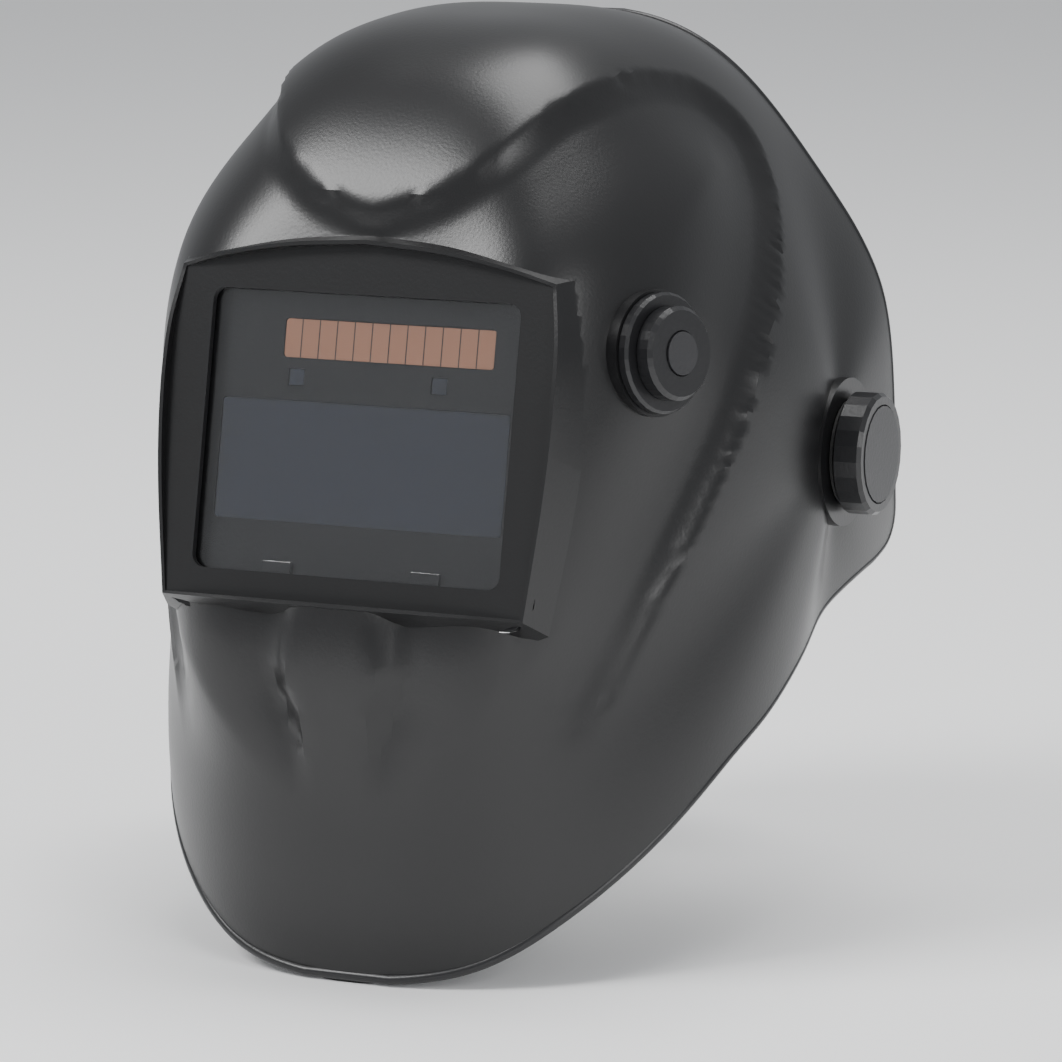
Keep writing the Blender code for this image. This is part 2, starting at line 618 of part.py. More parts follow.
keep(layer(shutter, SHUTTER_DEPTH, SHUTTER_THICKNESS), "lcd_shutter", DARK_GLASS, window)

rear = layer(LENS_OUTLINE, CASING_BACK, CASING_REAR_DEPTH)
INNER_LENS_WIDTH = VIEW_WIDTH + 4 * MM
INNER_LENS_HEIGHT = VIEW_HEIGHT + 10 * MM
INNER_LENS_DEPTH = CASING_END + GAP
lip = layer(shifted(rounded(INNER_LENS_WIDTH + 5 * MM, INNER_LENS_HEIGHT + 5 * MM, 3 * MM), 0,
                    VIEW_UP), CASING_END - 0.5 * MM, 2.3 * MM)
join_or_cut(rear, hide(lip, "rear_lip", window), "UNION")
lens_seat = shifted(rounded(INNER_LENS_WIDTH + 2 * GAP, INNER_LENS_HEIGHT + 2 * GAP, 2 * MM), 0,
                    VIEW_UP)
rear_view = shifted(rounded(VIEW_WIDTH - 6 * MM, VIEW_HEIGHT - 3 * MM, 1.5 * MM), 0, VIEW_UP)
TRAY_HEIGHT = 2 * BATTERY_RADIUS + 2 * MM
TRAY_THICKNESS = BATTERY_THICKNESS + 1.2 * MM
TRAY_DEPTH = CASING_BACK + 0.5 * MM
TRAY_END = LENS_WIDTH / 2
TRAY_START = TRAY_X - BATTERY_RADIUS - 3 * MM
rear_cuts = {"rear_cavity": layer(INSIDE, 0, CASING_END - CASING_WALL),
             "rear_seat": layer(lens_seat, CASING_END, CASING_END),
             "rear_view": layer(rear_view, 0, 2 * CASING_END)}
for side, sign in SIDES.items():
    slot = block((6 * CASING_WALL, TRAY_HEIGHT + 2 * GAP, TRAY_THICKNESS + 2 * GAP),
                 (sign * TRAY_END, TRAY_UP, -TRAY_DEPTH - TRAY_THICKNESS / 2))
    rear_cuts["rear_slot_" + side] = slot
    dial_hole = rod(DIAL_RADIUS / 2 + GAP, -2 * CASING_END, 0, 16)
    dial_hole.location = (sign * DIAL_X, DIAL_UP, 0)
    rear_cuts["rear_dial_" + side] = dial_hole
TEST_RADIUS = 3.5 * MM
test_hole = rod(TEST_RADIUS + GAP, -2 * CASING_END, 0, 16)
test_hole.location = (0, DIAL_UP, 0)
rear_cuts["rear_test"] = test_hole
for name, cutter in rear_cuts.items():
    join_or_cut(rear, hide(cutter, name, window))
keep(rear, "filter_casing_rear", TRIM_BLACK, window)
inner_lens = shifted(rounded(INNER_LENS_WIDTH, INNER_LENS_HEIGHT, 2 * MM), 0, VIEW_UP)
keep(layer(inner_lens, INNER_LENS_DEPTH, LENS_THICKNESS), "inner_cover_lens", CLEAR, window)

# Controls on the cartridge's back: two dials and a test button, turned on the window's Z.
DIAL_FACE = CASING_END + GAP
SHAFT_END = CASING_END - CASING_WALL - 1.5 * MM
for name, sign in (("sensitivity_dial", 1), ("delay_dial", -1)):
    dial = turned([(0, -SHAFT_END), (DIAL_RADIUS / 2, -SHAFT_END), (DIAL_RADIUS / 2, -DIAL_FACE),
                   (DIAL_RADIUS, -DIAL_FACE), (DIAL_RADIUS - 0.6 * MM, -DIAL_FACE - 3 * MM),
                   (0, -DIAL_FACE - 3 * MM)], 20)
    dial.location = (sign * DIAL_X, DIAL_UP, 0)
    keep(dial, name, GREY_PLASTIC, window)
BUTTON_TRAVEL = 0.9 * MM
test = turned([(0, -SHAFT_END), (TEST_RADIUS + 0.8 * MM, -SHAFT_END),
               (TEST_RADIUS + 0.8 * MM, -SHAFT_END - 0.9 * MM), (TEST_RADIUS, -SHAFT_END - 0.9 * MM),
               (TEST_RADIUS, -DIAL_FACE - 1.3 * MM), (0, -DIAL_FACE - 1.3 * MM)], 20)
test.location = (0, DIAL_UP, 0)
keep(test, "test_button", GREY_PLASTIC, window)

for side, sign in SIDES.items():
    tray = block((TRAY_END - TRAY_START, TRAY_HEIGHT, TRAY_THICKNESS),
                 (sign * (TRAY_END + TRAY_START) / 2, TRAY_UP, -TRAY_DEPTH - TRAY_THICKNESS / 2))
    well = rod(BATTERY_RADIUS + GAP, -TRAY_DEPTH - BATTERY_THICKNESS - GAP, 0, 24)
    well.location = (sign * TRAY_X, TRAY_UP, 0)
    join_or_cut(tray, hide(well, "battery_well_" + side, window))
    keep(tray, "battery_tray_" + side, TRIM_BLACK, window)
    battery = rod(BATTERY_RADIUS, -TRAY_DEPTH - BATTERY_THICKNESS, -TRAY_DEPTH, 24)
    battery.location = (sign * TRAY_X, TRAY_UP, 0)
    keep(battery, "battery_" + side, STEEL, window)


# ---- Shade control on the left cheek: all turned on its own axis ----------------------
RING_BASE = SHADE_SEAT + GAP
RING_TOP = RING_BASE + SHADE_RING_HEIGHT
RING_HOLE = SHADE_HOLE + 1 * MM
KNOB_BASE = RING_TOP + GAP
KNOB_TOP = KNOB_BASE + SHADE_KNOB_HEIGHT
keep(turned([(RING_HOLE, RING_TOP), (SHADE_RING_RADIUS - 1 * MM, RING_TOP),
             (SHADE_RING_RADIUS, RING_TOP - 1 * MM), (SHADE_RING_RADIUS, RING_BASE),
             (RING_HOLE, RING_BASE)], 32, closed=True),
     "shade_dial_ring", TRIM_BLACK, shade)
BUSHING_OUTER = SHADE_HOLE - 2 * GAP
POT_FRONT = SHADE_SEAT - SHADE_PAD - GAP
POT_BACK = POT_FRONT - 8 * MM
POT_RADIUS = 8.2 * MM
SHAFT_BORE = SHADE_SHAFT_RADIUS + GAP
keep(turned([(0, POT_BACK + 2.3 * MM), (SHAFT_BORE, POT_BACK + 2.3 * MM), (SHAFT_BORE, RING_TOP - GAP),
             (BUSHING_OUTER, RING_TOP - GAP), (BUSHING_OUTER, POT_FRONT), (POT_RADIUS, POT_FRONT),
             (POT_RADIUS, POT_BACK), (0, POT_BACK)], 20), "shade_potentiometer", STEEL, shade)
POCKET_FLOOR = KNOB_BASE + 2 * MM
keep(rod(SHADE_SHAFT_RADIUS, POT_BACK + 2.6 * MM, POCKET_FLOOR - GAP, 20), "shade_shaft", STEEL,
     shade)
POCKET = SHADE_BUTTON_RADIUS + 0.4 * MM
keep(turned([(POCKET, KNOB_TOP), (SHADE_KNOB_RADIUS - 1.4 * MM, KNOB_TOP),
             (SHADE_KNOB_RADIUS, KNOB_TOP - 1.4 * MM), (SHADE_KNOB_RADIUS, KNOB_BASE),
             (SHAFT_BORE, KNOB_BASE), (SHAFT_BORE, POCKET_FLOOR), (POCKET, POCKET_FLOOR)],
            32, closed=True), "shade_knob", TRIM_BLACK, shade)
keep(rod(SHADE_BUTTON_RADIUS, POCKET_FLOOR + BUTTON_TRAVEL + GAP, KNOB_TOP + 0.6 * MM, 24),
     "mode_button", GREY_PLASTIC, shade)

def tube(path, radius, steps):
    """A closed round tube along a path."""
    path = [Vector(point) for point in path]
    side = Vector((0, 0, 1))
    bm = bmesh.new()
    rings = []
    for i, point in enumerate(path):
        along = (path[min(i + 1, len(path) - 1)] - path[max(i - 1, 0)]).normalized()
        side = (side - along * side.dot(along)).normalized()
        other = along.cross(side)
        turns = [2 * math.pi * step / steps for step in range(steps)]
        rings.append([bm.verts.new(point + radius * (side * math.cos(turn) + other * math.sin(turn)))
                      for turn in turns])
    for one, two in zip(rings, rings[1:]):
        for i in range(steps):
            j = (i + 1) % steps
            bm.faces.new((one[i], one[j], two[j], two[i]))
    bm.faces.new(rings[0][::-1])
    bm.faces.new(rings[-1])
    bmesh.ops.recalc_face_normals(bm, faces=bm.faces)
    return from_bmesh(bm, "tube")


# Lead from the potentiometer to the cartridge's back, held at both ends.
LEAD_X = 55 * MM
LEAD_UP = 30 * MM
bpy.context.view_layer.update()
pot_end = shade.matrix_world @ Vector((0, 0, POT_BACK - GAP))
pot_out = shade.matrix_world @ Vector((0, 0, POT_BACK - 7 * MM))
casing_end = window.matrix_world @ Vector((LEAD_X, LEAD_UP, -CASING_END - GAP))
casing_out = window.matrix_world @ Vector((LEAD_X, LEAD_UP, -CASING_END - 9 * MM))
bend_one = Vector((67, -107.5, 45)) * MM
bend_two = Vector((59, -112, 43.5)) * MM
route = smooth_path([pot_end, pot_out, bend_one, bend_two, casing_out, casing_end], 4)
keep(tube(route, CABLE_RADIUS, 10), "shade_lead", RUBBER)


# ---- Pivot hardware, once for each side -----------------------------------------------
WASHER_IN = BOSS_OUTER + GAP
KNOB_IN = WASHER_IN + WASHER_THICKNESS + GAP
KNOB_OUT = KNOB_IN + KNOB_HEIGHT
LIMITER_OUT = BOSS_INNER - GAP
LIMITER_IN = LIMITER_OUT - LIMITER_THICKNESS
ARM_OUT = LIMITER_IN - GAP
ARM_IN = ARM_OUT - ARM_THICKNESS
FLANGE_OUT = ARM_IN - GAP
FLANGE_IN = FLANGE_OUT - FLANGE_THICKNESS
HEAD_OUT = FLANGE_IN - GAP
CAP_OUT = KNOB_OUT + GAP
CAP_IN = CAP_OUT - CAP_THICKNESS
BORE = BOLT_RADIUS + GAP
UPPER_ARM_IN = HEAD_HALF_WIDTH + BAND_THICKNESS / 2 + 0.7 * MM
STUDS = [(-12 * MM, 30 * MM), (20 * MM, 24.5 * MM)]     # back, up
STUD_RADIUS = 1.7 * MM
STUD_HEAD_RADIUS = 3 * MM
STUD_HEAD_IN = HEAD_HALF_WIDTH - BAND_THICKNESS / 2 - 1.5 * MM


def placed(obj, side, back, up):
    """Put a piece turned on a pivot's Z at a place behind and above the pivot."""
    obj.parent = pivots[side]
    obj.location = (-SIDES[side] * up, back, 0)
    return obj


def build_pivot(side, sign):
    frame = pivots[side]
    bolt = turned([(0, KNOB_OUT - 2 * CAP_THICKNESS), (BOLT_RADIUS, KNOB_OUT - 2 * CAP_THICKNESS),
                   (BOLT_RADIUS, HEAD_OUT), (BOLT_HEAD_RADIUS, HEAD_OUT),
                   (BOLT_HEAD_RADIUS - 0.8 * MM, HEAD_OUT - BOLT_HEAD_HEIGHT),
                   (0, HEAD_OUT - BOLT_HEAD_HEIGHT)], 24)
    keep(bolt, "pivot_bolt_" + side, STEEL, frame)
    slider = block((SLOT_HEIGHT + 6 * MM, SLIDER_LENGTH + 6 * MM, FLANGE_THICKNESS),
                   (0, 0, (FLANGE_IN + FLANGE_OUT) / 2))
    neck = block((SLOT_HEIGHT - 2 * GAP, SLIDER_LENGTH, ARM_OUT - FLANGE_OUT + 0.4 * MM),
                 (0, 0, (ARM_OUT + FLANGE_OUT) / 2 - 0.2 * MM))
    join_or_cut(slider, hide(neck, "slider_neck_" + side, frame), "UNION")
    hole = hide(rod(BORE, HEAD_OUT, BOSS_OUTER, 24), "slider_bore_" + side, frame)
    join_or_cut(slider, hole)
    keep(slider, "slider_block_" + side, HEAD_PLASTIC, frame)
    limiter = ring(BORE, LIMITER_RADIUS, LIMITER_IN, LIMITER_OUT, 28)
    finger_width = 5 * MM
    finger_low = LIMITER_RADIUS - 4 * MM
    finger = block((STOP_RADIUS + 2 * MM - finger_low, finger_width, 0.8 * LIMITER_THICKNESS),
                   (sign * (STOP_RADIUS + 2 * MM + finger_low) / 2,
                    STOP_PIN_RADIUS + GAP + finger_width / 2, (LIMITER_IN + LIMITER_OUT) / 2))
    join_or_cut(limiter, hide(finger, "limiter_finger_" + side, frame), "UNION")
    keep(limiter, "tilt_limiter_" + side, HEAD_PLASTIC, frame)
    keep(ring(BORE, WASHER_RADIUS, WASHER_IN, WASHER_IN + WASHER_THICKNESS, 24),
         "friction_washer_" + side, RUBBER, frame)
    recess = CAP_RADIUS + 0.5 * MM
    knob = turned([(recess, KNOB_OUT), (KNOB_RADIUS - 1.2 * MM, KNOB_OUT),
                   (KNOB_RADIUS, KNOB_OUT - 1.4 * MM), (KNOB_RADIUS, KNOB_IN + 0.8 * MM),
                   (KNOB_RADIUS - 1 * MM, KNOB_IN), (BORE, KNOB_IN), (BORE, CAP_IN - GAP),
                   (recess, CAP_IN - GAP)], 2 * KNOB_FACETS, closed=True)
    keep(knob, "tension_knob_" + side, TRIM_BLACK, frame)
    keep(rod(CAP_RADIUS, CAP_IN, CAP_OUT, 24), "knob_cap_" + side, GREY_PLASTIC, frame)
    drop = 15 * MM
    fold = 5.3 * MM
    outline = [(UPPER_ARM_IN, 36 * MM), (UPPER_ARM_IN + ARM_THICKNESS, 36 * MM),
               (UPPER_ARM_IN + ARM_THICKNESS, 21.8 * MM), (ARM_OUT, 21.8 * MM - fold),
               (ARM_OUT, -drop), (ARM_IN, -drop), (ARM_IN, 21.8 * MM - fold - 2.4 * MM),
               (UPPER_ARM_IN, 21.8 * MM - 2.4 * MM)]
    arm = plate([(sign * x, z) for x, z in outline], -ARM_LENGTH / 2, ARM_LENGTH / 2)
    arm.rotation_euler = (math.radians(90), 0, 0)
    slot = block((4 * ARM_THICKNESS, SLIDER_LENGTH + 2 * SLIDE_TRAVEL + 1 * MM, SLOT_HEIGHT),
                 (sign * (ARM_IN + ARM_OUT) / 2, 0, 0))
    join_or_cut(arm, hide(slot, "arm_slot_" + side))
    for number, (back, up) in enumerate(STUDS):
        stud = turned([(0, UPPER_ARM_IN + ARM_THICKNESS / 2), (STUD_RADIUS, UPPER_ARM_IN + ARM_THICKNESS / 2),
                       (STUD_RADIUS, STUD_HEAD_IN), (STUD_HEAD_RADIUS, STUD_HEAD_IN),
                       (STUD_HEAD_RADIUS - 0.5 * MM, STUD_HEAD_IN - 1 * MM),
                       (0, STUD_HEAD_IN - 1 * MM)], 12)
        stud = hide(placed(stud, side, back, up), f"stud_{side}_{number}", frame)
        join_or_cut(arm, stud, "UNION")
    keep(arm, "side_arm_" + side, HEAD_PLASTIC)


for side, sign in SIDES.items():
    build_pivot(side, sign)


# ---- Headgear -------------------------------------------------------------------------
def band_point(turn, half_width, half_length):
    """A point of the head-shaped band; the turn is from the forehead towards the left."""
    power = 2 / HEAD_ROUNDNESS
    across = math.sin(turn)
    along = math.cos(turn)
    return (math.copysign(half_width * abs(across) ** power, across),
            -math.copysign(half_length * abs(along) ** power, along))


def ribbon(points, width, thickness):
    """A strip that stands on edge along flat points, with the given wall."""
    bm = bmesh.new()
    rows = [[bm.verts.new((x, y, z)) for z in (-width / 2, width / 2)] for x, y in points]
    for one, two in zip(rows, rows[1:]):
        bm.faces.new((one[0], two[0], two[1], one[1]))
    obj = from_bmesh(bm, "ribbon")
    wall = obj.modifiers.new("Solidify", "SOLIDIFY")
    wall.thickness = thickness
    wall.offset = 0.0
    wall.use_even_offset = True
    return obj


def band(start, end, steps, grow=0.0, rear_grow=0.0, width=BAND_WIDTH,
         thickness=BAND_THICKNESS):
    """A strip of the head-shaped band between two turns in degrees."""
    points = [band_point(math.radians(turn), HEAD_HALF_WIDTH + grow,
                         HEAD_HALF_LENGTH + grow + rear_grow)
              for turn in np.linspace(start, end, steps)]
    return ribbon(points, width, thickness)


def cut_stud_hole(obj, name, side, which):
    """Cut the hole in a band that one of the side arm's studs snaps through."""
    back, up = STUDS[which]
    tool = rod(STUD_RADIUS + GAP, HEAD_HALF_WIDTH - 10 * MM, ARM_OUT, 12)
    join_or_cut(obj, hide(placed(tool, side, back, up), f"{name}_hole_{side}", pivots[side]))


headband = band(-91, 91, 45)
for side in SIDES:
    cut_stud_hole(headband, "headband", side, 0)
keep(headband, "headband", HEAD_PLASTIC, headgear)
pad_grow = -BAND_THICKNESS / 2 - GAP - PAD_THICKNESS / 2
sweat = band(-60, 60, 21, pad_grow, 0, PAD_WIDTH, PAD_THICKNESS)
keep(sweat, "sweatband", FOAM, headgear)

# Ratchet at the nape: its frame's Z points back and its Y points down.
ratchet = empty("ratchet_frame", (0, HEAD_HALF_LENGTH, 0), (math.radians(-90), 0, 0))
ratchet.parent = headgear
LAYER_STEP = BAND_THICKNESS + 1 * MM
RACK_TOOTH = RACK_HEIGHT / 2 - PINION_RADIUS - GAP


def rack_outline(toothed):
    """A slot with one toothed edge: the teeth point at the pinion from that side."""
    half = RACK_LENGTH / 2
    top = RACK_HEIGHT / 2
    points = [(-half, -toothed * top), (half, -toothed * top), (half, toothed * top)]
    count = int(RACK_LENGTH / TOOTH_PITCH) - 1
    start = count * TOOTH_PITCH / 2
    for number in range(count):
        x = start - number * TOOTH_PITCH
        points += [(x, toothed * top), (x - 0.35 * TOOTH_PITCH, toothed * (top - RACK_TOOTH)),
                   (x - 0.65 * TOOTH_PITCH, toothed * (top - RACK_TOOTH)),
                   (x - TOOTH_PITCH, toothed * top)]
    points.append((-half, toothed * top))
    return [point for i, point in enumerate(points) if i == 0 or point != points[i - 1]]


for number, (side, sign) in enumerate(SIDES.items()):
    rear_band = band(sign * 94, sign * 196, 33, 0, number * LAYER_STEP)
    rack = hide(plate(rack_outline(sign), -8 * MM, 12 * MM), "rack_slot_" + side, ratchet)
    join_or_cut(rear_band, rack)
    cut_stud_hole(rear_band, "rear_band", side, 1)
    keep(rear_band, "rear_band_" + side, HEAD_PLASTIC, headgear)

CAVITY_IN = -8 * MM
CAVITY_OUT = 6.3 * MM
WALL_OUT = CAVITY_OUT + HOUSING_WALL
housing = block((HOUSING_WIDTH, HOUSING_HEIGHT, WALL_OUT - CAVITY_IN),
                (0, 0, (WALL_OUT + CAVITY_IN) / 2), 3 * MM)
cavity = block((2 * HOUSING_WIDTH, HOUSING_HEIGHT - 2 * HOUSING_WALL, CAVITY_OUT - CAVITY_IN + 20 * MM),
               (0, 0, (CAVITY_OUT + CAVITY_IN) / 2 - 10 * MM))
join_or_cut(housing, hide(cavity, "housing_cavity", ratchet))
SHAFT_RADIUS = 3 * MM
shaft_hole = hide(rod(SHAFT_RADIUS + 2 * GAP, 0, 2 * WALL_OUT, 20), "housing_bore", ratchet)
join_or_cut(housing, shaft_hole)
keep(housing, "ratchet_housing", HEAD_PLASTIC, ratchet)
cover = plate(rounded(HOUSING_WIDTH, HOUSING_HEIGHT, 4 * MM), CAVITY_IN - GAP - HOUSING_WALL,
              CAVITY_IN - GAP)
keep(cover, "ratchet_inner_cover", HEAD_PLASTIC, ratchet)
DETENT_IN = LAYER_STEP + BAND_THICKNESS / 2 + 2 * GAP
keep(ring(PINION_RADIUS + 0.8 * MM, 13 * MM, DETENT_IN, DETENT_IN + 1.2 * MM, 24),
     "ratchet_detent", STEEL, ratchet)
RATCHET_KNOB_IN = WALL_OUT + GAP
RATCHET_SHAFT_OUT = RATCHET_KNOB_IN + 0.6 * RATCHET_KNOB_HEIGHT
teeth = []
for number in range(16):
    radius = PINION_RADIUS - (number % 2) * RACK_TOOTH
    teeth.append((radius * math.cos(number * math.pi / 8), radius * math.sin(number * math.pi / 8)))
pinion = plate(teeth, -2 * MM, DETENT_IN + 1.2 * MM)
shaft = hide(rod(SHAFT_RADIUS, 0, RATCHET_SHAFT_OUT, 16), "pinion_shaft", ratchet)
join_or_cut(pinion, shaft, "UNION")
keep(pinion, "ratchet_pinion", GREY_PLASTIC, ratchet)
lobes = []
for number in range(60):
    angle = number * math.pi / 30
    radius = RATCHET_KNOB_RADIUS - 0.7 * MM + 0.7 * MM * math.cos(10 * angle)
    lobes.append((radius * math.cos(angle), radius * math.sin(angle)))
knob = plate(lobes, RATCHET_KNOB_IN, RATCHET_KNOB_IN + RATCHET_KNOB_HEIGHT)
bore = hide(rod(SHAFT_RADIUS + GAP, 0, RATCHET_SHAFT_OUT + GAP, 16), "ratchet_bore", ratchet)
join_or_cut(knob, bore)
keep(knob, "ratchet_knob", GREY_PLASTIC, ratchet)
NAPE_THICKNESS = 8 * MM
nape = block((HOUSING_WIDTH + 4 * MM, HOUSING_HEIGHT + 4 * MM, NAPE_THICKNESS),
             (0, 0, CAVITY_IN - 2 * GAP - HOUSING_WALL - NAPE_THICKNESS / 2), 3 * MM)
keep(nape, "nape_pad", FOAM, ratchet)

# Crown straps: two pairs that cross over the head and lap at the top.
STRAPS = {"crown": (-32 * MM, math.radians(0), 101 * MM),
          "rear": (40 * MM, math.radians(8), 96 * MM)}
LAP_STEP = STRAP_THICKNESS + 0.7 * MM
PEG_RADIUS = 3 * MM
for name, (base, lean, rise) in STRAPS.items():
    frame = empty(name + "_strap_frame", (0, base, 0), (math.radians(90) - lean, 0, 0))
    frame.parent = headgear
    power = 1 / HEAD_ROUNDNESS
    edge = (abs(base) + STRAP_WIDTH / 2 + 4 * MM) / HEAD_HALF_LENGTH
    band_width = HEAD_HALF_WIDTH * (1 - edge ** HEAD_ROUNDNESS) ** power
    reach = band_width - BAND_THICKNESS / 2 - STRAP_THICKNESS / 2 - 1.6 * MM
    for number, (side, sign) in enumerate(SIDES.items()):
        height = rise + number * LAP_STEP
        turns = [math.radians(turn) for turn in np.linspace(-5, 97, 24)]
        points = [(sign * reach * math.cos(turn), height * math.sin(turn)) for turn in turns]
        strap = ribbon(points, STRAP_WIDTH, STRAP_THICKNESS)
        if side == "right":
            tool = rod(PEG_RADIUS + GAP, rise, 2 * rise, 16)
            operation = "DIFFERENCE"
        else:
            top = rise + LAP_STEP + STRAP_THICKNESS / 2 + GAP
            tool = turned([(0, top + 1.2 * MM), (4.6 * MM, top + 1.2 * MM), (5 * MM, top),
                           (PEG_RADIUS, top), (PEG_RADIUS, rise), (0, rise)], 16)
            operation = "UNION"
        tool.rotation_euler = (math.radians(-90), 0, 0)
        join_or_cut(strap, hide(tool, f"{name}_peg_{side}", frame), operation)
        keep(strap, f"{name}_strap_{side}", HEAD_PLASTIC, frame)
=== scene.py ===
"""Welding helmet: the visor shell, its window, its controls and the headgear inside.

The scene is in metres. The origin is the middle of the pivot axis, +X is the wearer's left,
-Y is forward and +Z is up.
"""
import math

import bmesh
import bpy
import numpy as np
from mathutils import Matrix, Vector


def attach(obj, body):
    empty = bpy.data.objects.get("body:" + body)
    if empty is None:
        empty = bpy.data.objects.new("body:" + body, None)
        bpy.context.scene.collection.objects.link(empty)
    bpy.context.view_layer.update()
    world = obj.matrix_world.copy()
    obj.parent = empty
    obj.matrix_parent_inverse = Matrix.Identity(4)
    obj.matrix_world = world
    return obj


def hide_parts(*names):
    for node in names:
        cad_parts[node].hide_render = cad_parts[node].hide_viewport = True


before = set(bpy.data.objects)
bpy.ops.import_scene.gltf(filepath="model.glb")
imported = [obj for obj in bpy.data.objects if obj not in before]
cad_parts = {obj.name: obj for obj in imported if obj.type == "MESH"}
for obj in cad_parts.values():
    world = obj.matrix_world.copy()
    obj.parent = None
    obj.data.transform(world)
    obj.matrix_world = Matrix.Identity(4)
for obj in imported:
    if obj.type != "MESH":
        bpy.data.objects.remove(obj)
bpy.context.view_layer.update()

# ---- Moulded shell ---------------------------------------------------------------------
# A rounded form swept round a pole at each pivot. A stepped line runs from over the window,
# across the crown and down behind the cheek, and the side ahead of it is sunk.
PROFILE = [(-95, 235.1), (-70, 244.5), (-47, 230), (-33, 194.1), (-20, 180), (-7, 164.6),
           (7, 156), (25, 159.9), (43, 168.2), (60, 170.1), (75, 160.4), (90, 154.5),
           (105, 150.3), (120, 147.4), (140, 146.6), (160, 130.2), (180, 129.2),
           (210, 165.3), (240, 188)]
SECTIONS = [(-75, 1.5, 4.8, 0.05), (-45, 3.0, 2.45, 0.165), (-20, 1.85, 5.3, 0.265),
            (7, 2.4, 10.3, 0.30), (40, 2.3, 4.75, 0.205), (75, 1.8, 3.05, 0.06),
            (110, 1.5, 3.45, 0.0), (145, 3.0, 3.7, 0.0), (180, 4.0, 4.45, 0.0),
            (230, 1.85, 3.6, 0.0)]
RIM = [(8.5, 159), (22, 125), (30.5, 106), (39.5, 87), (45.5, 73), (52.5, 51), (54.5, 32),
       (54.5, 13), (54.5, -4), (56.5, -20), (60, -33), (56.5, -41), (45.5, -45.5),
       (30.5, -49), (3.5, -57), (-30.5, -69), (-58.5, -83), (-85, -96.6), (-114.5, -119),
       (-139.5, -140.3), (-156.9, -157.5), (-166, -164.5)]
STEP_LINE = [(0, -144.5, 96), (20.5, -141.4, 102.1), (31.5, -137, 108.9), (41, -129.5, 117),
             (47.7, -119.6, 124.1), (53, -106.6, 130.6), (59.4, -87.1, 135.6),
             (64.4, -63.8, 137.6), (68.7, -47, 136), (74, -32.3, 131.8), (79.9, -23.4, 124.9),
             (86.4, -16, 115), (93, -17.1, 103), (98.4, -22, 91.4), (104.7, -34.8, 75.6),
             (108.8, -48, 59.8), (110.6, -66.2, 37.9), (108.5, -79.2, 18.7),
             (104.9, -91.9, 1.3), (100.4, -104.2, -16.1), (93.5, -118.4, -38.4),
             (85.5, -129.9, -61.2), (78.2, -138.5, -78.5), (70.5, -146.3, -93.9)]
HALF_WIDTH = 117.5
WALL = 2.6
STEP_DEPTH = 4.5
STEP_FILLET = 9.0
FACET_DEPTH = 7.0
CENTRE_Y = -9.5
CENTRE_Z = 2.0


def periodic_curve(knots):
    """Smooth closed curve through (angle, value...) knots."""
    angles = np.array([knot[0] for knot in knots], float)
    values = np.array([knot[1:] for knot in knots], float)
    count = len(angles)
    spans = np.diff(np.append(angles, angles[0] + 360))
    slopes = (np.roll(values, -1, axis=0) - values) / spans[:, None]
    matrix = np.zeros((count, count))
    for i in range(count):
        before = spans[i - 1]
        matrix[i, i - 1] += before
        matrix[i, i] += 2 * (before + spans[i])
        matrix[i, (i + 1) % count] += spans[i]
    bends = np.linalg.solve(matrix, 6 * (slopes - np.roll(slopes, 1, axis=0)))

    def value(angle):
        turn = (angle - angles[0]) % 360 + angles[0]
        i = int(np.searchsorted(angles, turn, side="right")) - 1
        j = (i + 1) % count
        step = turn - angles[i]
        left = spans[i] - step
        curved = (bends[i] * left ** 3 + bends[j] * step ** 3) / (6 * spans[i])
        start = (values[i] / spans[i] - bends[i] * spans[i] / 6) * left
        end = (values[j] / spans[i] - bends[j] * spans[i] / 6) * step
        return curved + start + end

    return value


def smooth_path(points, count):
    """A smooth open path through points."""
    points = np.array(points, float)
    ends = np.vstack([2 * points[0] - points[1], points, 2 * points[-1] - points[-2]])
    path = []
    for i in range(1, len(ends) - 2):
        a, b, c, d = ends[i - 1:i + 3]
        for t in np.linspace(0, 1, count, endpoint=False):
            path.append(0.5 * (2 * b + (c - a) * t + (2 * a - 5 * b + 4 * c - d) * t ** 2
                               + (3 * b - a - 3 * c + d) * t ** 3))
    path.append(points[-1])
    return np.array(path)


profile_radius = periodic_curve(PROFILE)
section_form = periodic_curve(SECTIONS)
step_line = smooth_path(STEP_LINE, 6)


def ease(value):
    clipped = np.clip(value, 0, 1)
    return clipped * clipped * (3 - 2 * clipped)


def sunk(points, normals):
    """How far the stepped line sinks the form, in millimetres, at points and their normals."""
    gaps = np.linalg.norm(points[:, None] - step_line[None], axis=2)
    near = gaps.argmin(axis=1)
    along = np.gradient(step_line, axis=0)[near]
    across = np.cross(along, normals)
    side = np.einsum("ij,ij->i", points - step_line[near], across)
    ahead = np.where(side < 0, 0.0, gaps[np.arange(len(points)), near])
    depth = STEP_DEPTH * np.clip(ahead / STEP_FILLET, 0, 1) ** 0.6 * (1 - ease((ahead - 14) / 46))
    share = near / (len(step_line) - 1)
    depth *= 1 - ease((share - 0.9) / 0.1)
    # Two sunk facets on the chin, either side of a rounded nose, that fade downwards.
    width = np.abs(points[:, 0])
    height = points[:, 2]
    valley = np.interp(height, [-98, -80, -58], [15.5, 18, 27])
    outer = np.interp(height, [-100, -74, -39], [21.5, 47, 75])
    across_facet = (width - valley) / np.maximum(outer - valley, 1)
    facet = np.where(across_facet < 0, 1 - ease(-across_facet * 3), 1 - across_facet)
    facet = np.clip(facet, 0, 1) * (points[:, 1] < -60)
    facet *= ease((height + 104) / 40) * (1 - ease((height + 36) / 5))
    return depth + FACET_DEPTH * facet


